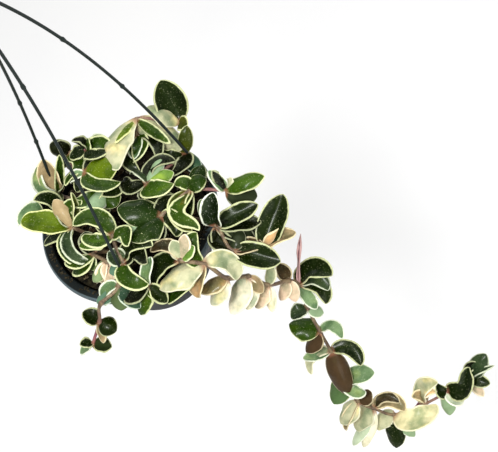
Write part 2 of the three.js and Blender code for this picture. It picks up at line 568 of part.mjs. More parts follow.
// The distance between the two corners of a body that lie nearest to each other, up to NEAR.
function nearestCorners(body) {
  const { vertProperties } = body.getMesh();
  const corners = [];
  for (let i = 0; i < vertProperties.length; i += 3) corners.push(vertProperties.slice(i, i + 3));
  corners.sort((a, b) => a[0] - b[0]);
  let nearest = NEAR;
  corners.forEach((a, i) => {
    for (let j = i + 1; j < corners.length && corners[j][0] - a[0] < nearest; j++) {
      nearest = Math.min(nearest, Math.hypot(...a.map((value, k) => value - corners[j][k])));
    }
  });
  return nearest;
}

// ---- the assembly ---------------------------------------------------------------------------

const plant = new THREE.Group();

function place(name, manifold, color, roughness) {
  const material = new THREE.MeshStandardMaterial({ color, roughness, metalness: 0 });
  const mesh = new THREE.Mesh(geometryOf(manifold), material);
  mesh.name = name;
  plant.add(mesh);
}

const stemGrown = STEMS.map((stem) => stemSolid(stem, GAP));
const strands = Object.entries(STRAND_ANGLES).map(([name, degrees]) => ({
  name: `hanger_strand_${name}`,
  body: cut(strandSolid(degrees).add(strandStop(degrees)), []),
  grown: strandSolid(degrees, GAP + 0.1),
  grownWhole: strandSolid(degrees, GAP).add(strandStop(degrees, GAP)),
}));

place("hook", cut(hookSolid(), strands.map((strand) => strand.grown)), COLORS.hanger, 0.45);
for (const strand of strands) place(strand.name, strand.body, COLORS.hanger, 0.45);

const pot = cut(potSolid(), [...strands.map((strand) => strand.grown), ...drainHoles()]);
place("pot", pot, COLORS.pot, 0.5);
place("soil", cut(soilSolid(), stemGrown), COLORS.soil, 0.95);

const potKeepOut = solid(turned([
  [0, RIM_Z - POT_DEPTH - GAP], [POT_BASE_RADIUS + 1 + GAP, RIM_Z - POT_DEPTH - GAP],
  [RIM_INNER + WALL + GAP, RIM_Z - FLANGE_THICK - GAP], [RIM_RADIUS + GAP, RIM_Z - FLANGE_THICK - GAP],
  [RIM_RADIUS + GAP, RIM_Z + GAP], [RIM_INNER - GAP, RIM_Z + GAP],
  [RIM_INNER - 2 * GAP - 2, RIM_Z + SOIL_EDGE + GAP], [0, RIM_Z + SOIL_CROWN + GAP],
], 48));

const taken = [potKeepOut, ...strands.map((strand) => strand.grownWhole)];
STEMS.forEach((stem, index) => {
  const earlier = stemGrown.slice(0, index);
  place(`stem_${stem.name}`, cut(stemSolid(stem), [...earlier, ...taken.slice(1, 4)]), COLORS.stem, 0.7);
});
STEMS.forEach((stem) => {
  stem.nodes.filter((node) => node.leaves.length > 0).forEach((node, index) => {
    const { body, wider } = fittedGroup(node, [...stemGrown, ...taken]);
    const number = String(index + 1).padStart(2, "0");
    place(`leaves_${stem.name}_${number}`, body, COLORS[node.leaves[0][1]], 0.35);
    taken.push(groupSolid(node, LEAF_GAP, wider));
  });
});

export default plant;
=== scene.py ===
"""Looks for a trailing rope plant in a plastic hanging pot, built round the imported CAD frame."""
import math

import bpy
import numpy as np
from mathutils import Matrix, Vector


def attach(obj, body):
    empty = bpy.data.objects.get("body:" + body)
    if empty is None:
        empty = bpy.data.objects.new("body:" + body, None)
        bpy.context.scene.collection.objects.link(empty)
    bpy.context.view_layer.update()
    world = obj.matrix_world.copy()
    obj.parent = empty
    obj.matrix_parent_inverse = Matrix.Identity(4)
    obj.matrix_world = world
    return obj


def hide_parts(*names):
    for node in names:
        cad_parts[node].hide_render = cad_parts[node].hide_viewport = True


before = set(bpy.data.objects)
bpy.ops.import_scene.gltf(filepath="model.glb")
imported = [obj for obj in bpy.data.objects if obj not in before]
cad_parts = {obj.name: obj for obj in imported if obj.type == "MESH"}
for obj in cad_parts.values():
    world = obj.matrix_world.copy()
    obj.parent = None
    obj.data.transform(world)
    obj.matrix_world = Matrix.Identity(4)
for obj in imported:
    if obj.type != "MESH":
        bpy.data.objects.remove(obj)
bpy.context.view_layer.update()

MM = 0.001
DEG = math.pi / 180
rng = np.random.default_rng(7)

# ---- camera ---------------------------------------------------------------------------------

FOCAL_PX = 1200  # of a picture 498 pixels wide
PICTURE_WIDTH = 498
SENSOR = 36
CAMERA_AT = np.array([0.0, -0.5592, 0.479])
CAMERA_TARGET = np.array([0.0735, -0.076, -0.350])
CAMERA_ROLL = -29 * DEG


def unit(v):
    return v / np.linalg.norm(v)


def make_camera():
    back = unit(CAMERA_AT - CAMERA_TARGET)
    right = unit(np.cross([0, 0, 1], back))
    up = np.cross(back, right)
    c, s = math.cos(CAMERA_ROLL), math.sin(CAMERA_ROLL)
    turned = np.column_stack([c * right + s * up, c * up - s * right, back])
    data = bpy.data.cameras.new("camera")
    data.sensor_width = SENSOR
    data.lens = FOCAL_PX * SENSOR / PICTURE_WIDTH
    data.clip_start = 0.01
    camera = bpy.data.objects.new("camera", data)
    camera.matrix_world = Matrix.Translation(Vector(CAMERA_AT)) @ Matrix(turned.tolist()).to_4x4()
    bpy.context.scene.collection.objects.link(camera)
    bpy.context.scene.camera = camera


make_camera()

# ---- dimensions, in millimetres from the hook -----------------------------------------------

RIM_Z = -350
RIM_RADIUS = 76
RIM_INNER = 68
FLANGE_THICK = 3
POT_DEPTH = 88
POT_BASE_RADIUS = 47
POT_FOOT = 2
POT_FLOOR = 2 * POT_FOOT  # the floor's upper side, above the foot ring
WALL = 1.8
DRAIN_RADIUS = 4
DRAIN_CIRCLE = 32
DRAIN_COUNT = 6
SOIL_EDGE = -5
SOIL_CROWN = -3
SOIL_GAP = 1.2  # between the soil and the pot's wall

HOOK_RADIUS = 13
HOOK_ROD = 2.5
HUB_TOP = -38
HUB_BOTTOM = -50
HUB_RADIUS = 9

STRAND_RADIUS = 1.25
STRAND_SEAT = 72.3
STRAND_TOP = 5.5
STRAND_SOCKET = 6
STRAND_BOW = [9, 23]
STRAND_ANGLES = {"right": 1.5, "left": 121.5, "front": 241.5}
STRAND_NUBS = {"right": [0.38, 0.65], "left": [0.23, 0.41], "front": [0.36, 0.69]}
STOP_RADIUS = 2.8
STOP_LENGTH = 5
GAP = 0.3

STEM_RADIUS = 1.7
PETIOLE_HALF = 1.3
LEAF_THICK = 2.2

# ---- colours --------------------------------------------------------------------------------
# A leaf tone: the middle of the upper side, the margin, and the underside.

TONES = {
    "green": ["#2a4205", "#cacf9c", "#4e683e"],
    "lime": ["#566a0a", "#d8da98", "#7b9050"],
    "bright": ["#35500a", "#d2d6a2", "#5c7838"],
    "light": ["#6a8a38", "#dadfb2", "#84986a"],
    # deep, dark and shade are the same leaf painted darker, margins too: painted shade for leaves down
    # in the mound's gaps.
    "deep": ["#101c02", "#b6ba8c", "#242f16"],
    "glossy": ["#172a04", "#c6ca9c", "#3a4c26"],
    "dark": ["#080d01", "#9da17c", "#181d0e"],
    "blue": ["#274330", "#c2ceb8", "#587861"],
    "pale": ["#768f64", "#dadec8", "#8ba37e"],
    "grey": ["#303f25", "#bec4a9", "#53633f"],
    "shade": ["#101609", "#9b9f80", "#252c1b"],
    "olive": ["#3c440d", "#cacc99", "#616a3d"],
    "tan": ["#a38a66", "#d8cba2", "#b09a74"],
    "brown": ["#3e2f1d", "#bdb08c", "#463422"],
    "plum": ["#4c3a39", "#bdb49e", "#68514c"],
    # ivory is cream painted paler: painted light for the hanging cream leaves that lie in shade.
    "ivory": ["#f0e6c8", "#efe8cc", "#f0e6ca"],
    "cream": ["#bcba95", "#dcd9b9", "#ebe4c6"],
    "white": ["#ccd4b6", "#ecedd8", "#bccaaa"],
    "frost": ["#16240c", "#e4e8d4", "#c2ccb0"],
    "pinkc": ["#e0c4a6", "#ebdec0", "#d6b094"],
    "yellow": ["#e0d6a6", "#ece6c0", "#d8ce9c"],
    "purple": ["#6b424a", "#bb9692", "#774b54"],
}
PETIOLE_COLOR = "#8a5b46"

# ---- the plant's table --------------------------------------------------------------------
HABITS = {
  "flat": { "pitch": [0, 25], "fold": [8, 16], "wave": 0.04 },
  "cup": { "pitch": [0, -18], "fold": [16, 52], "wave": 0.03 },
  "cap": { "pitch": [-14, 38], "fold": [-12, -48], "wave": 0.04 },
  "capl": { "pitch": [-14, 34], "yaw": 80, "fold": [-12, -44], "wave": 0.03 },
  "boat": { "pitch": [6, -16], "fold": [10, 44], "wave": 0.02, "blunt": 0.42 },
  "tent": { "pitch": [-8, 24], "fold": [-38, -62], "wave": 0.03 },
  "taco": { "pitch": [-4, 22], "fold": [38, 66], "wave": 0.03 },
  "shell": { "pitch": [12, -44], "fold": [22, 66], "wave": 0.03 },
  "curl": { "pitch": [-30, 100], "fold": [-8, -40], "wave": 0.03 },
  "arcl": { "pitch": [-16, 24], "yaw": 125, "fold": [8, 46], "wave": 0.03 },
  "arcr": { "pitch": [-16, 24], "yaw": -125, "fold": [8, 46], "wave": 0.03 },
  "essl": { "pitch": [-10, 18], "swing": 55, "fold": [8, 46], "wave": 0.03 },
  "essr": { "pitch": [-10, 18], "swing": -55, "fold": [8, 46], "wave": 0.03 },
  "petal": { "pitch": [0, 16], "fold": [-10, -36], "wave": 0.02 },
  "slim": { "pitch": [0, 14], "fold": [40, 66], "wave": 0.03 },
}

# Each stem starts in the soil at root and runs through its nodes. Positions are from the middle
# of the rim, up from the rim plane. A leaf: habit, tone, tip, roll about its length, width.
# A node with no leaves is a bare bend of the stem.

STEMS = [
  { "name": "back_left", "root": [-26, 44], "nodes": [
    { "at": [-35, 56, 8], "leaves": [
      ["tent", "tan", [-28, 67, 43], 180, 27], ["slim", "green", [-15, 60, 44], 60, 11],
      ["cup", "olive", [-45, 46, 20], 180, 17], ["arcr", "pale", [-32, 69, 38], 0, 12],
      ["cup", "dark", [-22, 49, 28], 0, 14]] },
    { "at": [-8, 70, 25], "leaves": [
      ["cup", "dark", [-16, 80, 38], 150, 17], ["cup", "plum", [-12, 53, 24], 180, 15],
      ["flat", "dark", [-10, 75, 41], 0, 12], ["essl", "green", [-26, 41, 30], 0, 12],
      ["cap", "shade", [-23, 65, 24], 0, 15]] },
    { "at": [6, 56, 33], "leaves": [
      ["arcr", "green", [17, 30, 36], 10, 15], ["arcl", "deep", [21, 37, 40], 0, 12],
      ["taco", "dark", [0, 66, 42], 40, 16], ["cap", "grey", [24, 51, 40], 190, 17],
      ["cap", "green", [12, 54, 44], 0, 13], ["cup", "deep", [-10, 62, 30], 0, 16]] },
  ] },
  { "name": "back_middle", "root": [-14, 14], "nodes": [
    { "at": [-4, 17, 30], "leaves": [
      ["cap", "green", [-2, -3, 26], 0, 23], ["shell", "pale", [-26, -1, 34], 180, 21],
      ["arcr", "green", [-29, 27, 28], 0, 15], ["cup", "shade", [-14, 0, 20], 0, 17],
      ["arcl", "deep", [10, 9, 26], 0, 13]] },
    { "at": [-7, 37, 34], "leaves": [
      ["cap", "lime", [18, 17, 42], 10, 26], ["arcl", "green", [12, 9, 34], 0, 14],
      ["taco", "pale", [-21, 44, 26], 0, 13], ["cup", "deep", [-22, 34, 24], 0, 15],
      ["cup", "dark", [17, 45, 34], 0, 16]] },
  ] },
  { "name": "back_right", "root": [30, 34], "nodes": [
    { "at": [46, 42, 28], "leaves": [
      ["arcr", "green", [29, 25, 26], 0, 16], ["cup", "pale", [32, 23, 29], 0, 16],
      ["arcr", "dark", [47, 12, 24], 0, 14], ["cup", "dark", [23, 34, 24], 0, 17],
      ["arcl", "deep", [30, 14, 22], 0, 14]] },
    { "at": [53, 46, 40], "leaves": [
      ["capl", "cream", [16, 14, 42], 10, 27], ["capl", "tan", [31, 28, 36], 20, 15],
      ["tent", "cream", [69, 9, 20], 20, 31], ["petal", "green", [63, 10, 35], 20, 10],
      ["petal", "lime", [27, 33, 48], 0, 7]] },
    { "at": [80, 28, 26], "leaves": [
      ["cup", "deep", [88, 55, 52], 10, 32], ["cap", "cream", [65, 45, 46], 10, 21],
      ["flat", "olive", [84, 17, 32], 20, 14]] },
  ] },
  { "name": "middle_right", "root": [22, 8], "nodes": [
    { "at": [28, -3, 26], "leaves": [
      ["arcl", "bright", [45, -23, 34], 0, 20], ["curl", "grey", [22, 16, 25], 60, 14],
      ["cap", "light", [51, -9, 26], 10, 15], ["shell", "pale", [51, 9, 27], 180, 16],
      ["essl", "dark", [16, 17, 24], 0, 14], ["arcl", "deep", [42, -27, 22], 0, 16],
      ["cup", "shade", [20, -16, 18], 0, 19], ["arcr", "dark", [58, 0, 24], 0, 13]] },
    { "at": [68, 8, 14], "leaves": [
      ["arcr", "deep", [53, 21, 22], 0, 14], ["cap", "olive", [83, 17, 32], 30, 14],
      ["arcr", "dark", [47, -5, 20], 0, 15], ["cap", "blue", [69, -16, 14], 0, 15]] },
  ] },
  { "name": "middle", "root": [8, -18], "nodes": [
    { "at": [21, -39, 31], "leaves": [
      ["cap", "glossy", [-3, -16, 42], 0, 28], ["cap", "glossy", [-9, -46, 36], 10, 29],
      ["arcr", "deep", [21, -58, 24], 0, 16], ["arcr", "dark", [40, -38, 24], 0, 17],
      ["cup", "shade", [5, -50, 16], 0, 18], ["cup", "shade", [-3, -34, 20], 0, 16]] },
    { "at": [52, -34, 28], "leaves": [
      ["arcl", "olive", [34, -64, 26], 0, 16], ["essr", "green", [38, -70, 30], 0, 14],
      ["arcl", "green", [45, -23, 30], 0, 13], ["curl", "green", [68, -34, 30], 0, 17],
      ["cap", "glossy", [73, -20, 26], 0, 17], ["cup", "deep", [26, -53, 18], 0, 18]] },
    { "at": [75, -48, 20], "leaves": [
      ["taco", "pale", [73, -33, 35], 0, 15], ["cap", "bright", [106, -62, 24], 10, 17],
      ["cup", "shade", [93, -63, 8], 190, 25], ["petal", "cream", [85, -46, 26], 0, 9],
      ["flat", "dark", [75, -37, 38], 0, 10]] },
  ] },
  { "name": "front_left", "root": [-12, -16], "nodes": [
    { "at": [-19, -29, 34], "leaves": [
      ["arcl", "green", [-39, -3, 40], 0, 17], ["cap", "bright", [-45, -20, 36], 10, 18],
      ["shell", "pale", [1, -36, 34], 180, 20], ["essl", "green", [-13, -48, 38], 0, 14],
      ["arcr", "green", [-36, -13, 36], 0, 14], ["cup", "deep", [-18, 2, 30], 0, 17]] },
    { "at": [-24, -50, 25], "leaves": [
      ["arcr", "deep", [2, -58, 33], 0, 16], ["arcl", "green", [-18, -77, 22], 0, 16],
      ["essl", "dark", [-9, -66, 30], 0, 15], ["shell", "blue", [-38, -48, 22], 170, 17],
      ["cup", "grey", [-29, -37, 32], 0, 18]] },
    { "at": [-20, -72, 14], "leaves": [
      ["cap", "green", [-38, -79, -6], 10, 20], ["taco", "pale", [-4, -62, 28], 0, 14],
      ["arcr", "dark", [-38, -65, 8], 0, 16], ["cup", "deep", [-15, -87, -2], 0, 15]] },
  ] },
  { "name": "left", "root": [-32, 2], "nodes": [
    { "at": [-41, 9, 22], "leaves": [
      ["boat", "lime", [-72, 34, 36], 15, 27], ["shell", "tan", [-40, 32, 36], 170, 19],
      ["slim", "olive", [-25, 22, 44], 90, 12], ["flat", "deep", [-69, 17, 14], 10, 14],
      ["arcl", "green", [-50, -22, 14], 0, 14], ["arcl", "grey", [-45, -27, 18], 0, 11],
      ["essl", "green", [-22, 17, 34], 0, 13], ["cup", "shade", [-39, 29, 30], 0, 16]] },
    { "at": [-47, 34, 12], "leaves": [
      ["arcl", "pale", [-76, 36, 30], 0, 14], ["cup", "dark", [-49, 48, 33], 30, 19],
      ["arcl", "deep", [-54, 44, 36], 0, 14]] },
  ] },
  { "name": "low_left", "root": [-28, -18], "nodes": [
    { "at": [-40, -22, 18], "leaves": [
      ["arcr", "green", [-59, -7, 14], 0, 13], ["arcr", "green", [-61, -16, 8], 0, 12],
      ["cup", "light", [-49, -27, 8], 10, 14], ["cup", "shade", [-36, 0, 20], 0, 18]] },
    { "at": [-35, -36, 20], "leaves": [
      ["shell", "light", [-53, -37, 9], 170, 16], ["taco", "pinkc", [-48, -42, 6], 0, 14],
      ["taco", "pinkc", [-41, -48, 10], 0, 14]] },
    { "at": [-38, -56, 12], "leaves": [
      ["shell", "grey", [-48, -70, 2], 170, 26], ["cup", "blue", [-61, -51, 2], 170, 15],
      ["arcl", "pale", [-56, -57, 0], 0, 12], ["flat", "blue", [-35, -79, 3], 10, 15]] },
    { "at": [-58, -57, 8], "leaves": [] },
    { "at": [-70, -51, -24], "leaves": [
      ["cup", "deep", [-76, -39, -15], 10, 18], ["cap", "deep", [-63, -64, -30], 10, 19],
      ["petal", "tan", [-78, -60, -40], 0, 9]] },
    { "at": [-86, -52, -44], "leaves": [
      ["cup", "pale", [-100, -49, -50], 10, 14], ["cap", "deep", [-75, -62, -50], 170, 17],
      ["cup", "deep", [-95, -49, -38], 10, 13]] },
  ] },
  { "name": "front_right", "root": [36, -34], "nodes": [
    { "at": [52, -64, 11], "leaves": [
      ["taco", "frost", [65, -53, 36], 0, 25], ["cup", "grey", [54, -46, 28], 180, 16],
      ["cup", "deep", [89, -72, 12], 10, 20], ["shell", "shade", [77, -80, -10], 170, 26],
      ["cap", "dark", [76, -75, 2], 0, 17],
      ["cup", "dark", [83, -82, 4], 0, 20], ["cup", "shade", [71, -86, -8], 0, 21],
      ["cup", "dark", [48, -80, -8], 0, 20]] },
    { "at": [51, -86, 1], "leaves": [
      ["cup", "deep", [76, -114, -10], 10, 25], ["shell", "shade", [66, -74, 5], 170, 20],
      ["shell", "brown", [74, -93, -4], 0, 19], ["cup", "dark", [43, -64, 6], 0, 20]] },
    { "at": [72, -96, -8], "leaves": [
      ["cup", "deep", [110, -77, 10], 10, 27], ["taco", "tan", [100, -103, -6], 0, 18],
      ["shell", "brown", [58, -80, -5], 170, 21]] },
  ] },
  { "name": "trailing", "root": [14, -44], "nodes": [
    { "at": [13, -77, 22], "leaves": [
      ["arcl", "deep", [-20, -80, -2], 10, 19], ["arcl", "brown", [-2, -57, 26], 0, 12],
      ["petal", "cream", [17, -65, 34], 0, 13], ["petal", "pinkc", [28, -69, 36], 0, 13],
      ["petal", "light", [28, -79, 30], 0, 11]] },
    { "at": [26, -87, 13], "leaves": [
      ["cap", "cream", [-14, -77, 7], 10, 28], ["cup", "green", [-16, -84, -7], 10, 23],
      ["taco", "tan", [6, -97, -6], 0, 20], ["arcr", "green", [36, -69, 28], 0, 17],
      ["arcr", "cream", [39, -102, -12], 10, 18]] },
    { "at": [35, -94, -16], "leaves": [
      ["petal", "ivory", [12, -95, -34], 0, 20], ["petal", "tan", [10, -88, -18], 0, 15]] },
    { "at": [50, -94, -34], "leaves": [
      ["petal", "ivory", [21, -100, -58], 0, 22], ["petal", "ivory", [34, -105, -60], 0, 20],
      ["petal", "tan", [52, -108, -46], 0, 13]] },
    { "at": [60, -101, -54], "leaves": [
      ["cap", "pinkc", [41, -102, -72], 0, 18], ["petal", "ivory", [50, -112, -77], 0, 11],
      ["petal", "cream", [72, -94, -44], 0, 11]] },
    { "at": [77, -100, -72], "leaves": [
      ["petal", "pinkc", [62, -103, -86], 0, 13], ["petal", "pinkc", [72, -111, -90], 0, 13],
      ["cup", "brown", [78, -86, -62], 0, 15]] },
    { "at": [83, -99, -92], "leaves": [
      ["arcr", "deep", [109, -115, -84], 0, 22], ["arcr", "grey", [100, -117, -98], 0, 16],
      ["arcr", "deep", [92, -121, -108], 0, 17], ["cup", "pale", [84, -118, -112], 0, 14],
      ["slim", "purple", [107, -85, -46], 0, 4]] },
    { "at": [79, -107, -122], "leaves": [
      ["cup", "grey", [62, -105, -123], 10, 19], ["flat", "pale", [88, -116, -132], 180, 13]] },
    { "at": [77, -118, -154], "leaves": [
      ["cap", "green", [59, -96, -150], 10, 27], ["cup", "brown", [57, -118, -172], 180, 20],
      ["arcr", "pale", [88, -139, -148], 0, 13]] },
    { "at": [76, -127, -184], "leaves": [
      ["arcr", "deep", [89, -153, -190], 0, 17], ["cup", "pale", [52, -113, -190], 0, 15],
      ["arcl", "cream", [50, -126, -202], 0, 13], ["shell", "brown", [66, -156, -220], 180, 27]] },
    { "at": [73, -142, -218], "leaves": [
      ["flat", "pale", [97, -158, -212], 0, 20], ["cup", "green", [51, -149, -236], 170, 25],
      ["arcl", "pale", [81, -162, -226], 0, 15]] },
    { "at": [71, -158, -246], "leaves": [
      ["cap", "cream", [46, -159, -262], 0, 22], ["cup", "brown", [86, -161, -240], 180, 18],
      ["taco", "tan", [46, -164, -270], 10, 15]] },
    { "at": [80, -167, -263], "leaves": [
      ["capl", "cream", [56, -171, -278], 10, 26], ["cup", "white", [44, -171, -298], 180, 16],
      ["cup", "cream", [51, -178, -300], 180, 16], ["arcr", "tan", [101, -186, -266], 0, 17],
      ["arcr", "brown", [102, -178, -262], 0, 12]] },
    { "at": [93, -180, -276], "leaves": [
      ["capl", "cream", [72, -179, -286], 0, 19], ["cap", "deep", [76, -198, -302], 0, 22],
      ["arcl", "yellow", [129, -197, -272], 0, 26], ["cup", "pale", [96, -203, -293], 180, 16]] },
    { "at": [122, -188, -279], "leaves": [
      ["arcr", "cream", [142, -187, -256], 0, 19], ["arcr", "pinkc", [136, -192, -262], 0, 13],
      ["cup", "purple", [109, -184, -290], 180, 14], ["arcl", "tan", [115, -179, -268], 0, 13]] },
    { "at": [145, -194, -273], "leaves": [
      ["essr", "deep", [174, -195, -254], 0, 21], ["arcr", "deep", [142, -185, -262], 0, 14],
      ["arcl", "white", [153, -207, -280], 0, 13], ["cup", "pale", [135, -208, -291], 180, 17]] },
    { "at": [168, -199, -264], "leaves": [
      ["cap", "grey", [193, -197, -246], 10, 21], ["arcr", "dark", [182, -200, -252], 0, 11],
      ["flat", "deep", [180, -216, -264], 20, 13], ["petal", "pinkc", [169, -219, -274], 0, 11],
      ["slim", "grey", [192, -209, -250], 0, 6]] },
  ] },
]


# ---- materials ------------------------------------------------------------------------------

def linear(hex_color):
    """The linear RGBA of a hex colour such as #aabbcc."""
    values = [int(hex_color[i:i + 2], 16) / 255 for i in (1, 3, 5)]
    return [v / 12.92 if v <= 0.04045 else ((v + 0.055) / 1.055) ** 2.4 for v in values] + [1.0]


class Look:
    """A node material round one Principled shader."""

    def __init__(self, name, **constants):
        self.material = bpy.data.materials.new(name)
        self.material.use_nodes = True
        self.tree = self.material.node_tree
        self.tree.nodes.clear()
        output = self.node("ShaderNodeOutputMaterial")
        self.shader = self.node("ShaderNodeBsdfPrincipled")
        for socket, value in constants.items():
            self.shader.inputs[socket.replace("_", " ")].default_value = value
        self.tree.links.new(self.shader.outputs["BSDF"], output.inputs["Surface"])
        self.coords = self.node("ShaderNodeTexCoord").outputs["Object"]

    def node(self, kind, **settings):
        made = self.tree.nodes.new(kind)
        for key, value in settings.items():
            setattr(made, key, value)
        return made

    def put(self, socket, value):
        """Feeds a socket from another node's output, or sets it to a constant."""
        if isinstance(value, bpy.types.NodeSocket):
            self.tree.links.new(value, socket)
        else:
            socket.default_value = value

    def set(self, name, value):
        self.put(self.shader.inputs[name], value)

    def calc(self, operation, a, b=0.0):
        node = self.node("ShaderNodeMath", operation=operation)
        self.put(node.inputs[0], a)
        self.put(node.inputs[1], b)
        return node.outputs[0]

    def step(self, value, low, high):
        """0 below low, 1 above high, and smooth between them."""
        node = self.node("ShaderNodeMapRange", interpolation_type="SMOOTHSTEP")
        self.put(node.inputs["Value"], value)
        self.put(node.inputs["From Min"], low)
        self.put(node.inputs["From Max"], high)
        return node.outputs["Result"]

    def scale(self, value, low, high):
        """Spreads a value from 0..1 over low..high."""
        node = self.node("ShaderNodeMapRange")
        self.put(node.inputs["Value"], value)
        node.inputs["To Min"].default_value = low
        node.inputs["To Max"].default_value = high
        return node.outputs["Result"]

    def mix(self, factor, a, b, blend="MIX"):
        node = self.node("ShaderNodeMix", data_type="RGBA", blend_type=blend)
        self.put(node.inputs[0], factor)
        self.put(node.inputs[6], a)
        self.put(node.inputs[7], b)
        return node.outputs[2]

    def noise(self, scale, detail=2.0, stretch=(1, 1, 1)):
        """Noise from 0 to 1, about 1/scale metres from one blotch to the next."""
        mapping = self.node("ShaderNodeMapping")
        self.put(mapping.inputs["Vector"], self.coords)
        mapping.inputs["Scale"].default_value = stretch
        node = self.node("ShaderNodeTexNoise")
        self.put(node.inputs["Vector"], mapping.outputs["Vector"])
        node.inputs["Scale"].default_value = scale
        node.inputs["Detail"].default_value = detail
        return node.outputs["Fac"]

    def attribute(self, name, output="Fac"):
        return self.node("ShaderNodeAttribute", attribute_name=name).outputs[output]

    def bump(self, *layers):
        """Bumps, each (height socket, depth in metres), one upon the other."""
        normal = None
        for height, depth in layers:
            node = self.node("ShaderNodeBump")
            self.put(node.inputs["Height"], height)
            node.inputs["Distance"].default_value = depth
            if normal is not None:
                self.put(node.inputs["Normal"], normal)
            normal = node.outputs["Normal"]
        self.set("Normal", normal)


def leaf_look():
    look = Look("leaf", Coat_Weight=0.16, Coat_Roughness=0.2, Specular_IOR_Level=0.07,
                Specular_Tint=(0.75, 1.0, 0.4, 1))
    inset = look.attribute("inset")  # millimetres in from the margin
    upper = look.attribute("upper")
    share = look.attribute("share")  # 0 at the stalk, 1 at the tip
    seed = look.attribute("seed")

    # The cream margin wanders a little, and a pale green line runs along its inner side.
    wander = look.scale(look.noise(260, 3), -0.8, 0.8)
    depth = look.calc("ADD", inset, wander)
    margin = look.calc("ADD", look.scale(seed, 0.3, 0.85), look.scale(look.noise(45), -0.3, 0.4))
    face_part = look.step(depth, margin, look.calc("ADD", margin, 0.55))
    pale_part = look.step(depth, look.calc("ADD", margin, 0.2), look.calc("ADD", margin, 1.2))

    face = look.attribute("face", "Color")
    edge = look.attribute("edge", "Color")
    back = look.attribute("back", "Color")
    pale_line = look.mix(0.45, face, edge)
    face_shaded = look.mix(look.step(look.noise(70, 3), 0.35, 0.7), face,
                           look.mix(1.0, face, (0.36, 0.46, 0.4, 1), "MULTIPLY"))
    sunlit = look.mix(1.0, face_shaded, (1.9, 1.55, 1.2, 1), "MULTIPLY")
    face_shaded = look.mix(look.step(look.noise(46, 2), 0.52, 0.72), face_shaded, sunlit)
    speckled = look.mix(look.step(look.noise(900, 2), 0.62, 0.72), face_shaded,
                        look.mix(0.25, face_shaded, edge))
    top = look.mix(pale_part, look.mix(0.5, pale_line, face), speckled)
    top = look.mix(face_part, edge, top)

    back_part = look.step(depth, 0.5, 1.3)
    back_shaded = look.mix(look.step(look.noise(110, 3), 0.3, 0.75), back,
                           look.mix(1.0, back, (0.78, 0.78, 0.72, 1), "MULTIPLY"))
    bottom = look.mix(back_part, edge, back_shaded)

    color = look.mix(look.step(upper, 0.35, 0.65), bottom, top)
    stalk = look.step(share, 0.13, 0.02)
    color = look.mix(look.calc("MULTIPLY", stalk, 0.8), color, linear(PETIOLE_COLOR))
    look.set("Base Color", color)

    rough = look.scale(look.noise(150, 3), 0.34, 0.5)
    look.set("Roughness", look.mix(look.step(upper, 0.35, 0.65), (0.5, 0.5, 0.5, 1), rough))
    look.bump((look.noise(95, 2), 0.0022), (look.noise(260, 2), 0.0004), (look.noise(1400, 2), 0.00006))
    return look.material


def stem_look():
    look = Look("stem", Coat_Weight=0.1, Coat_Roughness=0.4)
    young = look.attribute("young")
    bark = look.mix(look.step(look.noise(220, 4, (1, 1, 0.4)), 0.35, 0.65),
                    linear("#54402f"), linear("#7d6a4c"))
    lenticels = look.step(look.noise(700, 2), 0.64, 0.7)
    bark = look.mix(look.calc("MULTIPLY", lenticels, 0.6), bark, linear("#a8967a"))
    shoot = look.mix(look.step(look.noise(160, 2), 0.35, 0.7), linear("#8b4a5c"), linear("#a06a5e"))
    look.set("Base Color", look.mix(young, bark, shoot))
    look.set("Roughness", look.scale(look.noise(300, 3), 0.45, 0.75))
    look.bump((look.noise(420, 4, (1, 1, 0.35)), 0.0004))
    return look.material


LIP_RADIUS = 0.0752  # metres, beyond which the pot's rim is painted pale: a painted highlight along the lip, patchy with noise
LIP_BLEND = 0.0006


def plastic_look(name, base, worn, rough, lip=None):
    """Moulded plastic: slight shade changes, a fine grain, rubbed places, and a painted highlight along
    the lip.
    """
    look = Look(name, Specular_IOR_Level=0.12)
    shade = look.mix(look.step(look.noise(28, 3), 0.35, 0.7), linear(base),
                     look.mix(0.05, linear(base), linear(worn)))
    geometry = look.node("ShaderNodeNewGeometry")
    rubbed = look.step(geometry.outputs["Pointiness"], 0.52, 0.6)
    rubbed = look.calc("MULTIPLY", rubbed, look.step(look.noise(160, 4), 0.35, 0.6))
    color = look.mix(look.calc("MULTIPLY", rubbed, 0.4), shade, linear(worn))
    # The pale band on the lip is a painted highlight, patchy with noise.
    if lip:
        place = look.node("ShaderNodeSeparateXYZ")
        look.put(place.inputs[0], look.coords)
        across = look.calc("ADD", look.calc("MULTIPLY", place.outputs[0], place.outputs[0]),
                           look.calc("MULTIPLY", place.outputs[1], place.outputs[1]))
        outside = look.step(look.calc("SQRT", across), lip - LIP_BLEND, lip + LIP_BLEND)
        lip_highlight = look.calc("MULTIPLY", outside, look.scale(look.noise(70, 4), 0.35, 0.95))
        color = look.mix(lip_highlight, color, linear(worn))
    scratch = look.step(look.noise(90, 5, (1, 1, 12)), 0.66, 0.72)
    look.set("Base Color", look.mix(look.calc("MULTIPLY", scratch, 0.15), color, linear(worn)))
    look.set("Roughness", look.scale(look.noise(120, 4), rough - 0.07, rough + 0.1))
    look.bump((look.noise(2600, 1), 0.00003), (look.noise(60, 2), 0.0001))
    return look.material


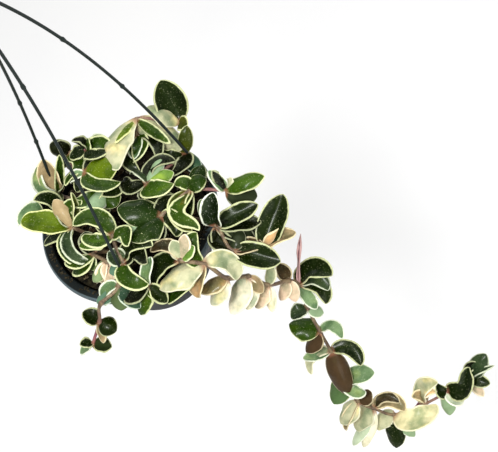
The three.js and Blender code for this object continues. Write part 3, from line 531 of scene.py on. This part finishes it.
def soil_look():
    look = Look("soil", Specular_IOR_Level=0.1)
    clods = look.noise(240, 4)
    base = look.mix(look.step(clods, 0.35, 0.68), linear("#0d0c08"), linear("#322d1e"))
    chip = look.attribute("chip", "Color")
    is_chip = look.attribute("chip", "Alpha")
    grained = look.mix(look.step(look.noise(500, 3, (1, 3, 1)), 0.4, 0.7), chip,
                       look.mix(1.0, chip, (0.5, 0.48, 0.44, 1), "MULTIPLY"))
    pale = look.step(look.noise(420, 2), 0.69, 0.73)
    base = look.mix(look.calc("MULTIPLY", pale, 0.5), base, linear("#8d8774"))
    look.set("Base Color", look.mix(is_chip, base, grained))
    look.set("Roughness", look.scale(look.noise(300, 2), 0.75, 0.98))
    look.bump((look.noise(520, 5), 0.0022))
    return look.material


def floor_look():
    look = Look("studio_floor")
    tint = look.step(look.noise(3, 2), 0.3, 0.7)
    look.set("Base Color", look.mix(tint, (0.93, 0.93, 0.93, 1), (0.95, 0.95, 0.945, 1)))
    look.set("Roughness", 0.9)
    return look.material


LEAF = leaf_look()
STEM = stem_look()
POT = plastic_look("pot_plastic", "#0e1312", "#66757a", 0.55, lip=LIP_RADIUS)
HANGER = plastic_look("hanger_plastic", "#1c2422", "#4a5451", 0.38)
SOIL = soil_look()

# ---- meshes ---------------------------------------------------------------------------------


def add_piece(name, points, faces, material, nodes, smooth=True):
    """A mesh in the plant's frame, from points in millimetres, that stands for CAD nodes."""
    mesh = bpy.data.meshes.new(name)
    mesh.from_pydata((np.asarray(points) * MM).tolist(), [], faces)
    mesh.materials.append(material)
    mesh.validate()
    for polygon in mesh.polygons:
        polygon.use_smooth = smooth
    piece = bpy.data.objects.new(name, mesh)
    bpy.context.scene.collection.objects.link(piece)
    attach(piece, "root")
    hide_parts(*nodes)
    return piece


def set_floats(piece, name, values):
    layer = piece.data.attributes.new(name, "FLOAT", "POINT")
    layer.data.foreach_set("value", np.asarray(values, np.float32))


def set_colors(piece, name, values):
    layer = piece.data.attributes.new(name, "FLOAT_COLOR", "POINT")
    layer.data.foreach_set("color", np.asarray(values, np.float32).ravel())


def ring_faces(rings, n, closed_rows=False):
    """Quads over rings of n points each. closed_rows joins the last ring to the first."""
    faces = []
    for r in range(rings if closed_rows else rings - 1):
        a, b = r * n, ((r + 1) % rings) * n
        faces += [(a + i, a + (i + 1) % n, b + (i + 1) % n, b + i) for i in range(n)]
    return faces


def tube(points, radii, sides):
    """A round capped tube along points, with a radius at each, and turning as little as it can."""
    points = np.asarray(points, float)
    along = np.gradient(points, axis=0)
    along /= np.linalg.norm(along, axis=1)[:, None]
    side = unit(np.cross(along[0], [0.31, 0.17, 0.93]))
    rings = []
    turn = np.linspace(0, 2 * math.pi, sides, endpoint=False)
    for point, direction, radius in zip(points, along, radii):
        side = unit(side - direction * side.dot(direction))
        other = np.cross(direction, side)
        rings.append(point + radius * (np.outer(np.cos(turn), side) + np.outer(np.sin(turn), other)))
    faces = ring_faces(len(points), sides)
    last = (len(points) - 1) * sides
    faces += [tuple(range(sides))[::-1], tuple(last + i for i in range(sides))]
    return np.concatenate(rings), faces


def lathe(profile, segments):
    """A closed ring turned about the Z axis from a closed outline of [radius, z] points."""
    profile = np.asarray(profile, float)
    turn = np.linspace(0, 2 * math.pi, segments, endpoint=False)
    radius, height = profile[:, 0], profile[:, 1]
    x = np.outer(np.cos(turn), radius)
    y = np.outer(np.sin(turn), radius)
    z = np.tile(height, (segments, 1))
    verts = np.stack([x, y, z], axis=2).reshape(-1, 3)
    return verts, ring_faces(segments, len(profile), closed_rows=True)


def rounded(profile, corners, steps=3):
    """Rounds the named corners of a closed outline: corners maps an index to a radius."""
    made = []
    n = len(profile)
    for i, point in enumerate(np.asarray(profile, float)):
        if i not in corners:
            made.append(point)
            continue
        before = unit(np.asarray(profile[i - 1], float) - point)
        after = unit(np.asarray(profile[(i + 1) % n], float) - point)
        start, end = point + before * corners[i], point + after * corners[i]
        for t in np.linspace(0, 1, steps + 2):
            made.append((1 - t) ** 2 * start + 2 * t * (1 - t) * point + t * t * end)
    return np.array(made)


def through(points, per_span):
    """Centripetal Catmull-Rom curve: points on it, and how far along the list each one is."""
    points = np.asarray(points, float)
    padded = np.vstack([2 * points[0] - points[1], points, 2 * points[-1] - points[-2]])
    made, places = [], []
    for i in range(1, len(padded) - 2):
        p = padded[i - 1:i + 3]
        gaps = np.sqrt(np.linalg.norm(np.diff(p, axis=0), axis=1))
        d = np.diff(p, axis=0)
        start = gaps[1] * (d[0] / gaps[0] - (p[2] - p[0]) / (gaps[0] + gaps[1]) + d[1] / gaps[1])
        end = gaps[1] * (d[1] / gaps[1] - (p[3] - p[1]) / (gaps[1] + gaps[2]) + d[2] / gaps[2])
        for t in np.linspace(0, 1, per_span, endpoint=False):
            made.append((2 * t ** 3 - 3 * t ** 2 + 1) * p[1] + (t ** 3 - 2 * t ** 2 + t) * start
                        + (3 * t ** 2 - 2 * t ** 3) * p[2] + (t ** 3 - t ** 2) * end)
            places.append(i - 1 + t)
    made.append(points[-1])
    places.append(len(points) - 1)
    return np.array(made), np.array(places)


# ---- leaf -----------------------------------------------------------------------------------

MIDRIB_STEPS = 40
SECTIONS = 21
ACROSS = 9
SHARES = (1 - np.cos(np.linspace(0, math.pi, SECTIONS))) / 2
SLENDER = 0.55  # how gradually a blade widens from its stalk
BLUNT = 0.62  # how gradually most blades narrow to their tip
GROOVE = 0.2  # depth of the groove along the midrib


def midrib(habit):
    """Unit-length frames of a curled midrib: points, and the along, side and up directions."""
    points, sides, ups = [], [], []
    point = np.zeros(3)
    p0, p1 = habit["pitch"]
    for k in range(MIDRIB_STEPS + 1):
        u = k / MIDRIB_STEPS
        pitch = (p0 + (p1 - p0) * u) * DEG
        yaw = (habit.get("yaw", 0) * u + habit.get("swing", 0) * math.sin(2 * math.pi * u)) * DEG
        cp, sp, cy, sy = math.cos(pitch), math.sin(pitch), math.cos(yaw), math.sin(yaw)
        along = np.array([cy * cp, sy * cp, -sp])
        points.append(point.copy())
        sides.append([-sy, cy, 0])
        ups.append([cy * sp, sy * sp, cp])
        point += along / MIDRIB_STEPS
    return np.array(points), np.array(sides), np.array(ups)


def outline(u, blunt):
    """The blade's half width along its length, 1 at its widest."""
    peak = SLENDER / (SLENDER + blunt)
    widest = peak ** SLENDER * (1 - peak) ** blunt
    return u ** SLENDER * (1 - u) ** blunt / widest


def axes(along, roll):
    side = unit(np.cross([0, 0, 1], along))
    normal = np.cross(along, side)
    c, s = math.cos(roll), math.sin(roll)
    return np.column_stack([along, c * side + s * normal, c * normal - s * side])


def unit_rows(rows):
    return rows / np.maximum(np.linalg.norm(rows, axis=1)[:, None], 1e-9)


def leaf_mesh(base, leaf, seed):
    """Points, quads and surface values of one leaf, in millimetres from the rim's middle."""
    habit_name, tone, tip, roll, width = leaf
    habit = HABITS[habit_name]
    frames = midrib(habit)
    end = frames[0][-1]
    base = np.asarray(base, float)
    chord = np.asarray(tip, float) - base
    length = np.linalg.norm(chord) / np.linalg.norm(end)
    turn = axes(unit(chord), roll * DEG) @ axes(unit(end), 0).T

    steps = np.linspace(0, 1, MIDRIB_STEPS + 1)
    points, sides, ups = [
        np.column_stack([np.interp(SHARES, steps, values[:, k]) for k in range(3)])
        for values in frames
    ]
    spread = outline(SHARES, habit.get("blunt", BLUNT))
    half = np.maximum(width / 2 * spread, PETIOLE_HALF * (1 - SHARES))
    half = np.maximum(half, 0.25)
    ease = (0.6 + 0.4 * np.sin(math.pi * SHARES)) * half / (half + 1.5)
    ripple = habit["wave"] * length * spread * np.sin(3 * math.pi * SHARES + 0.6)
    pucker = 0.025 * width * spread * np.sin(5.3 * math.pi * SHARES + 6 * seed)

    # Across a section: the upper skin from the left margin to the right, and the lower one back.
    v = np.linspace(-1, 1, ACROSS)
    s = np.abs(v) ** 0.9
    sign = np.where(v < 0, -1.0, 1.0)
    bulge = np.sqrt(np.clip(1 - 0.8 * s ** 3, 0, 1))
    stalk = 1.2 * np.exp(-(SHARES / 0.06) ** 2)
    thick = (LEAF_THICK / 2 * (0.42 + 0.4 * np.minimum(1, spread)) + stalk)[:, None] * bulge
    mid, edge = habit["fold"]
    mid = (mid * ease * DEG)[:, None]
    edge = (edge * ease * DEG)[:, None]
    angle = mid + (edge - mid) * s
    k = half[:, None] / (edge - mid)
    y = k * (np.sin(angle) - np.sin(mid))
    z = k * (np.cos(mid) - np.cos(angle))
    z = z + sign * ripple[:, None] * s ** 2 + pucker[:, None] * s ** 2
    groove = GROOVE * np.exp(-(v / 0.14) ** 2) * (1 - SHARES[:, None]) ** 0.5

    def skin(lift, dent, columns):
        lift = lift[:, columns]
        yy = (sign * y)[:, columns] - sign[columns] * lift * np.sin(angle[:, columns])
        zz = z[:, columns] + lift * np.cos(angle[:, columns]) - dent[:, columns]
        return (points[:, None] * length + sides[:, None] * yy[..., None]
                + ups[:, None] * zz[..., None])

    over = skin(thick, groove, np.arange(ACROSS))
    under = skin(-thick, -0.6 * groove, np.arange(ACROSS)[::-1])
    reach = 0.55 * thick[:, :1]
    right = (over[:, -1] + under[:, 0]) / 2 + unit_rows(over[:, -1] - over[:, -2]) * reach
    left = (over[:, 0] + under[:, -1]) / 2 + unit_rows(over[:, 0] - over[:, 1]) * reach
    section = np.concatenate([over, right[:, None], under, left[:, None]], axis=1)
    n = section.shape[1]
    verts = section.reshape(-1, 3) @ turn.T + base
    faces = [(a, d, c, b) for a, b, c, d in ring_faces(SECTIONS, n)]
    last = (SECTIONS - 1) * n
    faces += [tuple(range(n)), tuple(last + i for i in range(n))[::-1]]

    inset = half[:, None] * (1 - s)
    zero = np.zeros((SECTIONS, 1))
    values = {
        "inset": np.hstack([inset, zero, inset[:, ::-1], zero]).ravel(),
        "upper": np.tile([1.0] * ACROSS + [0.5] + [0.0] * ACROSS + [0.5], SECTIONS),
        "share": np.repeat(SHARES, n),
    }
    return verts, faces, values


def make_leaves(name, node, first_seed):
    """All the leaves of one node, as one piece."""
    points, faces = [], []
    values = {"inset": [], "upper": [], "share": [], "seed": []}
    colors = {"face": [], "edge": [], "back": []}
    count = 0
    for k, leaf in enumerate(node["leaves"]):
        seed = (first_seed + 0.37 * k) % 1
        verts, quads, own = leaf_mesh(node["at"], leaf, seed)
        points.append(verts + [0, 0, RIM_Z])
        faces += [tuple(count + i for i in face) for face in quads]
        count += len(verts)
        own["seed"] = np.full(len(verts), seed)
        for key in values:
            values[key].append(own[key])
        for key, tone in zip(colors, TONES[leaf[1]]):
            colors[key].append(np.tile(linear(tone), (len(verts), 1)))
    piece = add_piece(name + "_blades", np.concatenate(points), faces, LEAF, [name])
    for key, parts in values.items():
        set_floats(piece, key, np.concatenate(parts))
    for key, parts in colors.items():
        set_colors(piece, key, np.concatenate(parts))


# ---- stems ----------------------------------------------------------------------------------

ROOT_DEPTH = -30
STEM_SIDES = 10
YOUNG_FROM = 0.75  # the share of a stem from which it is a young pink shoot
TRAILING_YOUNG_FROM = 0.86


def make_stem(stem):
    root = stem["root"]
    nodes = [[*root, ROOT_DEPTH], [*root, SOIL_CROWN + 2]] + [node["at"] for node in stem["nodes"]]
    points, places = through(nodes, 12)
    share = places / places[-1]
    swelling = np.exp(-((places - np.round(places)) / 0.09) ** 2) * (places > 1.5)
    radii = STEM_RADIUS * (1.08 - 0.3 * share) + 0.9 * swelling
    radii[-3:] *= [0.95, 0.8, 0.45]
    points = points + [0, 0, RIM_Z]
    verts, faces = tube(points, radii, STEM_SIDES)
    name = f"stem_{stem['name']}"
    piece = add_piece(name + "_bark", verts, faces, STEM, [name])
    start = TRAILING_YOUNG_FROM if stem["name"] == "trailing" else YOUNG_FROM
    young = np.clip((share - start) / (1.001 - start), 0, 1)
    set_floats(piece, "young", np.repeat(young, STEM_SIDES))


# ---- pot and soil ---------------------------------------------------------------------------


def strand_line(degrees, t):
    """Points on a strand, from the rim (t = 0) to the hub (t = 1)."""
    t = np.asarray(t, float)
    reach = STRAND_SEAT + (STRAND_TOP - STRAND_SEAT) * t
    bow = 4 * t * (1 - t)
    return np.column_stack([
        math.cos(degrees * DEG) * reach + STRAND_BOW[0] * bow,
        math.sin(degrees * DEG) * reach + STRAND_BOW[1] * bow,
        RIM_Z + (HUB_BOTTOM - RIM_Z) * t,
    ])


def make_pot():
    outer = RIM_INNER + WALL
    base = POT_BASE_RADIUS
    profile = [
        [base - 4, -POT_DEPTH], [base, -POT_DEPTH], [base + 1, -POT_DEPTH + POT_FOOT],
        [base + 4.8, -POT_DEPTH + 26], [outer - 1.2, -16], [outer - 0.2, -15], [outer, -FLANGE_THICK],
        [RIM_RADIUS - 0.8, -FLANGE_THICK], [RIM_RADIUS - 0.2, -FLANGE_THICK - 2.2],
        [RIM_RADIUS + 0.5, -FLANGE_THICK - 2.2], [RIM_RADIUS + 0.5, -1], [RIM_RADIUS - 0.6, 0],
        [RIM_INNER + 1, 0], [RIM_INNER, -1], [RIM_INNER - 0.8, -15], [RIM_INNER - 1.8, -16],
        [base + 1 - WALL, -POT_DEPTH + POT_FLOOR], [3, -POT_DEPTH + POT_FLOOR],
        [3, -POT_DEPTH + POT_FOOT], [base - 5, -POT_DEPTH + POT_FOOT],
    ]
    corners = {1: 0.8, 5: 0.5, 6: 0.8, 9: 0.3, 10: 0.7, 11: 0.5, 12: 0.5, 13: 0.5, 14: 0.5, 16: 2}
    line = rounded(profile, corners)
    line[:, 1] += RIM_Z
    verts, faces = lathe(line, 96)
    pot = add_piece("pot_shell", verts, faces, POT, ["pot"])
    holes = []
    for i in range(DRAIN_COUNT):
        a = 2 * math.pi * i / DRAIN_COUNT
        at = np.array([DRAIN_CIRCLE * math.cos(a), DRAIN_CIRCLE * math.sin(a), RIM_Z - POT_DEPTH])
        holes.append((at - [0, 0, 4], at + [0, 0, 10], DRAIN_RADIUS))
    for degrees in STRAND_ANGLES.values():
        at = strand_line(degrees, [0])[0]
        holes.append((at - [0, 0, 12], at + [0, 0, 6], STRAND_RADIUS + 0.5))
    cut_holes(pot, holes)
    by_angle = pot.modifiers.new("smooth", "EDGE_SPLIT")
    by_angle.split_angle = 40 * DEG


def cut_holes(piece, holes):
    verts, faces = [], []
    for start, end, radius in holes:
        tube_verts, tube_faces = tube([start, end], [radius] * 2, 20)
        faces += [tuple(len(verts) + i for i in face) for face in tube_faces]
        verts += tube_verts.tolist()
    mesh = bpy.data.meshes.new("holes")
    mesh.from_pydata((np.array(verts) * MM).tolist(), [], faces)
    tool = bpy.data.objects.new("holes", mesh)
    bpy.context.scene.collection.objects.link(tool)
    cut = piece.modifiers.new("holes", "BOOLEAN")
    cut.object = tool
    cut.solver = "EXACT"
    made = bpy.data.meshes.new_from_object(piece.evaluated_get(bpy.context.evaluated_depsgraph_get()))
    piece.modifiers.clear()
    piece.data = made
    bpy.data.objects.remove(tool)


def soil_radius(h):
    """How far out the soil reaches at a height, just inside the pot's wall."""
    share = (h + POT_DEPTH - POT_FLOOR) / (POT_DEPTH - POT_FLOOR - 1)
    base = POT_BASE_RADIUS + 1 - WALL
    return base + (RIM_INNER - base) * share - SOIL_GAP


def soil_height(share):
    """The soil's domed top, at a share of the way from its middle to its edge."""
    return SOIL_EDGE + (SOIL_CROWN - SOIL_EDGE) * (1 - share ** 2)


SOIL_MIDDLE = 14  # no chips lie nearer the middle, where the stems come up


def chip_mesh(size):
    """A bark chip or grit grain: a rough block about size across."""
    corners = np.array([[x, y, z] for x in (-1, 1) for y in (-1, 1) for z in (-1, 1)], float)
    corners *= np.asarray(size) / 2 * rng.uniform(0.6, 1.1, (8, 3))
    faces = [(0, 1, 3, 2), (4, 6, 7, 5), (0, 4, 5, 1), (2, 3, 7, 6), (0, 2, 6, 4), (1, 5, 7, 3)]
    spin = Matrix.Rotation(rng.uniform(0, 2 * math.pi), 3, rng.normal(size=3).tolist())
    tilt = np.array(spin)
    return corners @ tilt.T, faces


def make_soil():
    rings, spokes = 30, 84
    within = soil_radius(SOIL_EDGE)
    verts = [[0, 0, SOIL_CROWN]]
    for r in range(1, rings + 1):
        for i in range(spokes):
            a = 2 * math.pi * i / spokes
            share = r / rings
            radius = within * share
            x, y = radius * math.cos(a), radius * math.sin(a)
            lump = 1.1 * math.sin(0.31 * x + 1.1) * math.sin(0.27 * y + 0.4)
            lump += 0.7 * math.sin(0.9 * x + 0.5 * y) * math.sin(0.8 * y - 0.6 * x + 2)
            lump += rng.uniform(-0.6, 0.6)
            verts.append([x, y, soil_height(share) + lump * (1 - 0.6 * share ** 6)])
    faces = [(0, 1 + i, 1 + (i + 1) % spokes) for i in range(spokes)]
    faces += [
        (a + i, b + i, b + (i + 1) % spokes, a + (i + 1) % spokes)
        for a, b in ((1 + r * spokes, 1 + (r + 1) * spokes) for r in range(rings - 1))
        for i in range(spokes)
    ]
    edge = 1 + (rings - 1) * spokes
    lowest = -POT_DEPTH + POT_FLOOR + GAP
    floor = soil_radius(lowest)
    bottom = len(verts)
    for i in range(spokes):
        a = 2 * math.pi * i / spokes
        verts.append([floor * math.cos(a), floor * math.sin(a), lowest])
    faces += [
        (edge + i, bottom + i, bottom + (i + 1) % spokes, edge + (i + 1) % spokes)
        for i in range(spokes)
    ]
    faces.append(tuple(bottom + i for i in range(spokes))[::-1])
    colors = [[0, 0, 0, 0]] * len(verts)
    on_soil, on_flange = SOIL_MIDDLE, RIM_INNER + 1
    flange_edge = RIM_RADIUS - 3.5
    kinds = [  # colour, size, count, and the radii between which they lie
        ("#54452f", [7, 3.2, 1.6], 130, on_soil, within - 4),
        ("#30291c", [5, 3, 2], 150, on_soil, within - 3),
        ("#8f8a74", [2.6, 2.2, 1.8], 150, on_soil, within - 2),
        ("#6d6248", [4, 1.4, 1.0], 110, on_soil, within - 3),
        ("#3a3426", [2.2, 1.7, 1.1], 240, on_flange, flange_edge),
        ("#7c7762", [1.6, 1.2, 0.9], 60, on_flange, flange_edge),
    ]
    for color, size, count, inner, outer in kinds:
        for _ in range(count):
            a = rng.uniform(0, 2 * math.pi)
            radius = math.sqrt(rng.uniform(inner ** 2, outer ** 2))
            h = 0.4 if radius > RIM_INNER else soil_height(radius / within) + 0.8
            points, quads = chip_mesh(np.array(size) * rng.uniform(0.7, 1.25))
            start = len(verts)
            verts += (points + [radius * math.cos(a), radius * math.sin(a), h]).tolist()
            faces += [tuple(start + i for i in quad) for quad in quads]
            shade = np.array(linear(color)) * rng.uniform(0.7, 1.2)
            colors += [[*shade[:3], 1]] * 8
    piece = add_piece("soil_mix", np.array(verts) + [0, 0, RIM_Z], faces, SOIL, ["soil"],
                      smooth=False)
    set_colors(piece, "chip", colors)


# ---- hanger ---------------------------------------------------------------------------------


def make_strand(name, degrees):
    rise = HUB_BOTTOM - RIM_Z
    t = np.linspace(-(FLANGE_THICK + GAP + STOP_LENGTH) / rise, 1 + (STRAND_SOCKET - 1) / rise, 150)
    line = strand_line(degrees, t)
    radii = np.full(len(t), STRAND_RADIUS)
    for nub in STRAND_NUBS[name]:
        radii += 0.75 * np.exp(-((t - nub) * rise / 1.6) ** 2)
    below = line[:, 2] - (RIM_Z - FLANGE_THICK - GAP)
    barb = np.clip(1 + below / STOP_LENGTH, 0, 1) * (below <= 0)
    neck = STRAND_RADIUS + 0.2
    radii = np.where(below <= 0, neck + (STOP_RADIUS - neck) * barb, radii)
    above = line[:, 2] - RIM_Z
    radii += 0.7 * np.exp(-((above - 2.2) / 1.2) ** 2)
    verts, faces = tube(line, radii, 14)
    add_piece(f"hanger_strand_{name}_rod", verts, faces, HANGER, [f"hanger_strand_{name}"])


def make_hook():
    mid = HOOK_RADIUS + HOOK_ROD
    centre = -HOOK_RADIUS
    path = [
        [-mid, centre - 8], [-mid, centre], [-mid * 0.71, centre + mid * 0.71], [0, centre + mid],
        [mid * 0.71, centre + mid * 0.71], [mid, centre], [mid * 0.82, centre - mid * 0.62],
        [mid * 0.34, centre - mid * 1.05], [0, centre - mid * 1.4], [0, HUB_TOP - 2],
    ]
    line, _ = through([[x, 0, z] for x, z in path], 8)
    radii = np.full(len(line), HOOK_ROD)
    radii[:3] = [HOOK_ROD * 0.55, HOOK_ROD * 0.85, HOOK_ROD * 0.97]
    verts, faces = tube(line, radii, 16)
    hub = rounded([
        [0.5, HUB_BOTTOM], [HUB_RADIUS - 1.5, HUB_BOTTOM], [HUB_RADIUS, HUB_BOTTOM + 1.5],
        [HUB_RADIUS, HUB_TOP - 8], [HUB_RADIUS - 0.7, HUB_TOP - 7.4], [HUB_RADIUS - 0.7, HUB_TOP - 6],
        [HUB_RADIUS, HUB_TOP - 5.4], [HUB_RADIUS, HUB_TOP - 4], [HUB_RADIUS - 3, HUB_TOP - 1],
        [HOOK_ROD + 1, HUB_TOP], [0.5, HUB_TOP],
    ], {1: 0.6, 2: 0.6, 8: 1.0, 9: 0.4})
    hub_verts, hub_faces = lathe(hub, 40)
    faces += [tuple(len(verts) + i for i in face) for face in hub_faces]
    add_piece("hook_and_hub", np.vstack([verts, hub_verts]), faces, HANGER, ["hook"])


# ---- the plant ------------------------------------------------------------------------------

make_pot()
make_soil()
make_hook()
for strand_name, strand_degrees in STRAND_ANGLES.items():
    make_strand(strand_name, strand_degrees)
for stem in STEMS:
    make_stem(stem)
    leafy = [node for node in stem["nodes"] if node["leaves"]]
    for number, node in enumerate(leafy, 1):
        seed = abs(math.sin(np.dot([12.9, 78.2, 37.7], node["at"])))
        make_leaves(f"leaves_{stem['name']}_{number:02d}", node, seed)

# ---- studio ---------------------------------------------------------------------------------

FLOOR_Z = -1.35
FLOOR_HALF = 6.0
WORLD_STRENGTH = 0.5
PLANT_MIDDLE = (0.03, -0.05, -0.35)
LIGHTS = [  # name, place, what it points at, size, watts
    ("key", (-0.3, -0.55, 0.85), PLANT_MIDDLE, 0.24, 15),
    ("sky", (0.2, -0.1, 2.4), (0.2, -0.1, 0), 3.0, 50),
    ("fill", (0.3, -1.3, -0.1), PLANT_MIDDLE, 0.9, 7),
    ("back", (0.5, 1.1, 0.2), PLANT_MIDDLE, 0.8, 4),
]


def make_floor():
    mesh = bpy.data.meshes.new("studio_floor")
    h = FLOOR_HALF
    corners = [(-h, -h, FLOOR_Z), (h, -h, FLOOR_Z), (h, h, FLOOR_Z), (-h, h, FLOOR_Z)]
    mesh.from_pydata(corners, [], [(0, 1, 2, 3)])
    mesh.materials.append(floor_look())
    floor = bpy.data.objects.new("studio_floor", mesh)
    bpy.context.scene.collection.objects.link(floor)


def add_light(name, location, target, size, watts):
    data = bpy.data.lights.new(name, "AREA")
    data.shape = "SQUARE"
    data.size = size
    data.energy = watts
    light = bpy.data.objects.new(name, data)
    light.location = location
    way = Vector(target) - Vector(location)
    light.rotation_euler = way.to_track_quat("-Z", "Y").to_euler()
    bpy.context.scene.collection.objects.link(light)


def make_studio():
    scene = bpy.context.scene
    world = bpy.data.worlds.new("studio")
    scene.world = world
    world.use_nodes = True
    background = world.node_tree.nodes["Background"]
    background.inputs["Color"].default_value = (1, 1, 1, 1)
    background.inputs["Strength"].default_value = WORLD_STRENGTH
    scene.view_settings.view_transform = "Standard"
    for light in LIGHTS:
        add_light(*light)


make_floor()
make_studio()
